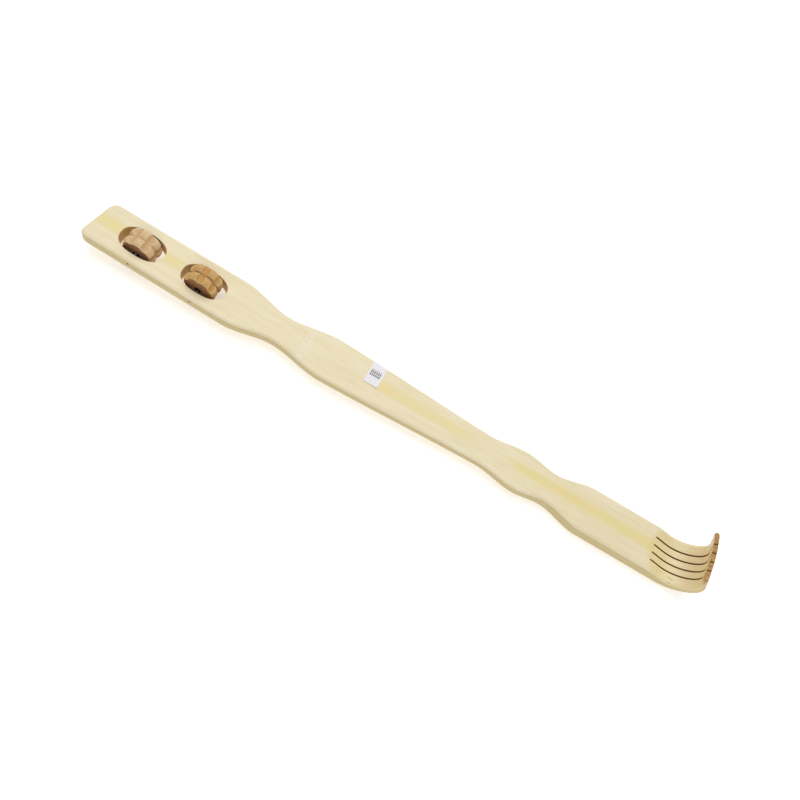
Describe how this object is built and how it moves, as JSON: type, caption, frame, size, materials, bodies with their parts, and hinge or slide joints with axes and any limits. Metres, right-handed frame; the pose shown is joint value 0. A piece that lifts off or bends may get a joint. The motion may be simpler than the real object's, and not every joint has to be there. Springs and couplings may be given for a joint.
{
  "type": "back scratcher",
  "caption": "Bamboo back scratcher: a waisted strip with a scooped, slit claw bent up at one end and loose studded wooden rollers turning on steel axles in slots through its handle.",
  "frame": {"origin": "under the middle of the part, on the plane that its end roller and its shank stand on", "axes": "+X along the strip from the handle's end to the claw, +Z out of the planed inner face, the way the claw bends, and Y across"},
  "size_m": [0.465, 0.0336, 0.0478],
  "materials": {
    "bamboo": "planed and sanded",
    "roller_wood": "turned and notched",
    "steel": "drawn wire, dulled",
    "paper": "matt paper"
  },
  "bodies": {
    "body": {"bamboo_strip": "bamboo", "end_axle": "steel", "neck_axle": "steel", "paper_label": "paper"},
    "end_roller": {"end_roller": "roller_wood"},
    "neck_roller": {"neck_roller": "roller_wood"}
  },
  "joints": [
    {"name": "end_roller_spin", "type": "hinge", "parent": "body", "child": "end_roller", "pos_m": [-0.19645, 0, 0.01195], "axis": [0, 1, 0], "continuous": true},
    {"name": "neck_roller_spin", "type": "hinge", "parent": "body", "child": "neck_roller", "pos_m": [-0.15005, 0, 0.01261], "axis": [0, 1, 0], "continuous": true}
  ]
}
